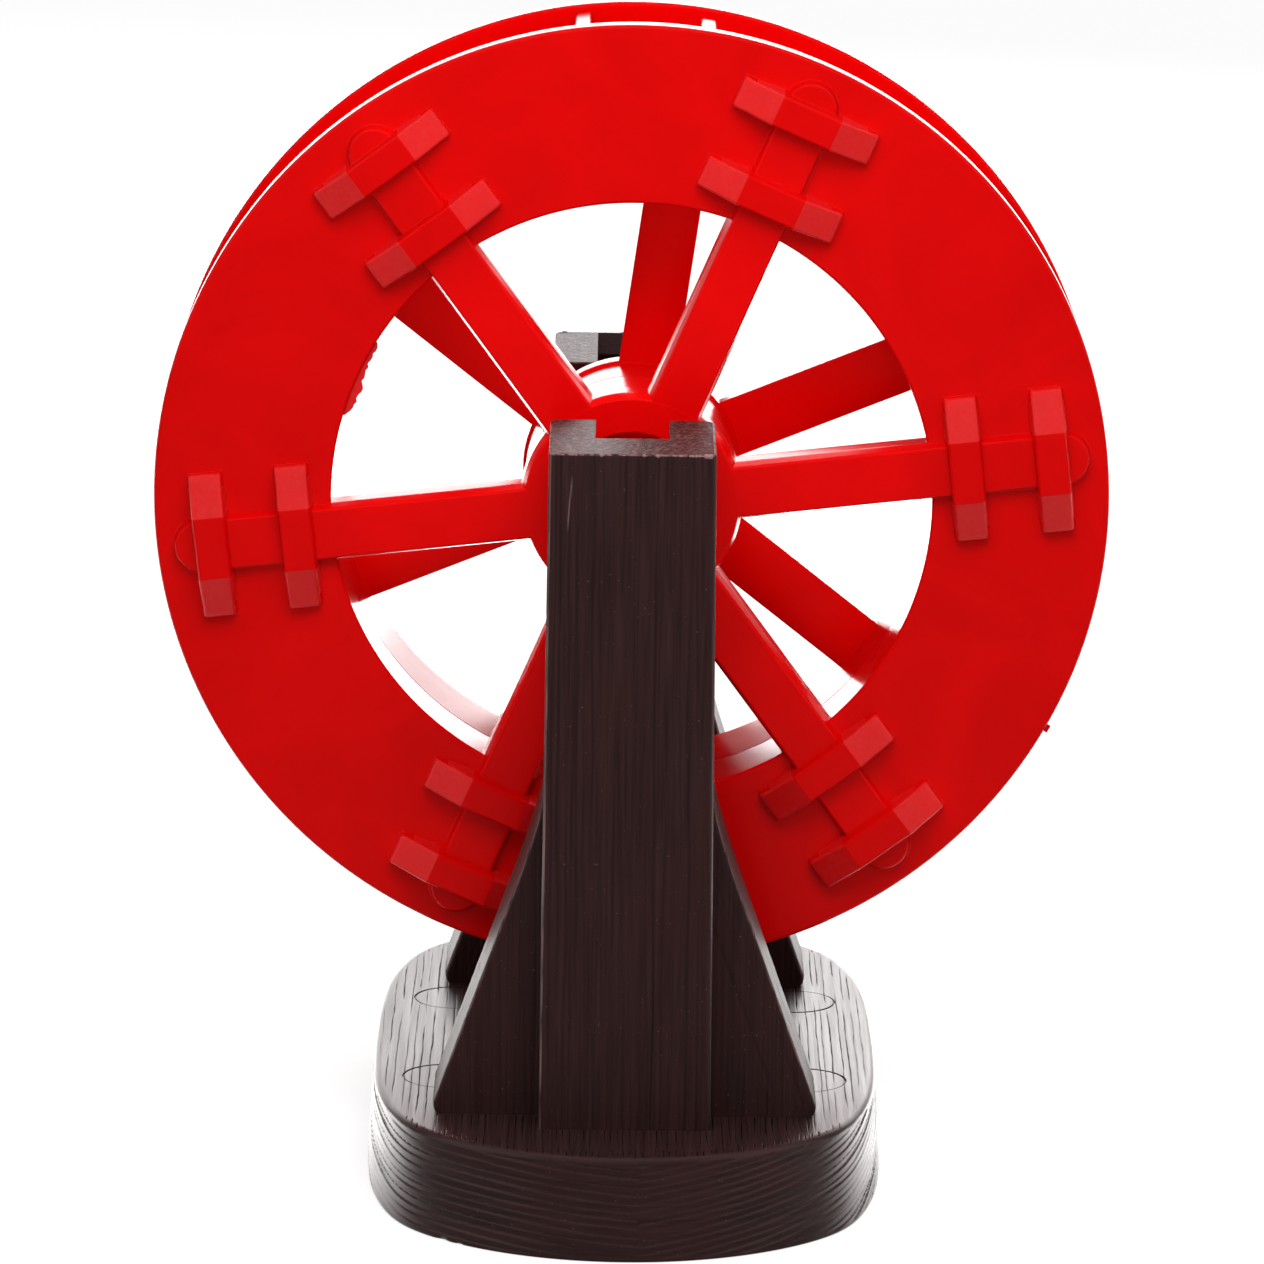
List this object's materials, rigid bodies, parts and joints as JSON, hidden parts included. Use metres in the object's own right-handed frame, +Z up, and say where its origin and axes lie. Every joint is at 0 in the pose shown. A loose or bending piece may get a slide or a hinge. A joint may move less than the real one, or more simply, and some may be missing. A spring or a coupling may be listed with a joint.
{
  "type": "ornamental water wheel",
  "caption": "Small garden water wheel ornament: a red plastic paddle wheel with spokes and cleats turns on an axle between two posts on a dark wood-grain plinth.",
  "frame": {"origin": "centre of the plinth's underside, on the ground", "axes": "+Z up, +Y along the wheel's axle away from the front post, +X to the right seen from the front"},
  "size_m": [0.12, 0.1144, 0.146],
  "materials": {
    "red_plastic": "glossy moulded red",
    "brown_plastic": "satin dark brown with moulded wood grain",
    "steel": "drawn steel",
    "nylon": "natural nylon"
  },
  "bodies": {
    "stand": {"base_plinth": "brown_plastic", "front_post": "brown_plastic", "rear_post": "brown_plastic", "front_post_screws": "steel", "rear_post_screws": "steel"},
    "bearings": {"front_bush": "nylon", "rear_bush": "nylon"},
    "wheel": {"front_wheel_half": "red_plastic", "rear_wheel_half": "red_plastic", "front_paddles": "red_plastic", "rear_paddles": "red_plastic", "axle": "steel", "front_axle_clip": "steel", "rear_axle_clip": "steel", "front_spacer": "nylon", "rear_spacer": "nylon", "hub_screws": "steel"}
  },
  "joints": [
    {"name": "wheel_lift", "type": "slide", "parent": "stand", "child": "bearings", "axis": [0, 0, 1], "range_m": [0, 0.08]},
    {"name": "wheel_spin", "type": "hinge", "parent": "bearings", "child": "wheel", "pos_m": [0, 0, 0.086], "axis": [0, 1, 0], "continuous": true}
  ]
}
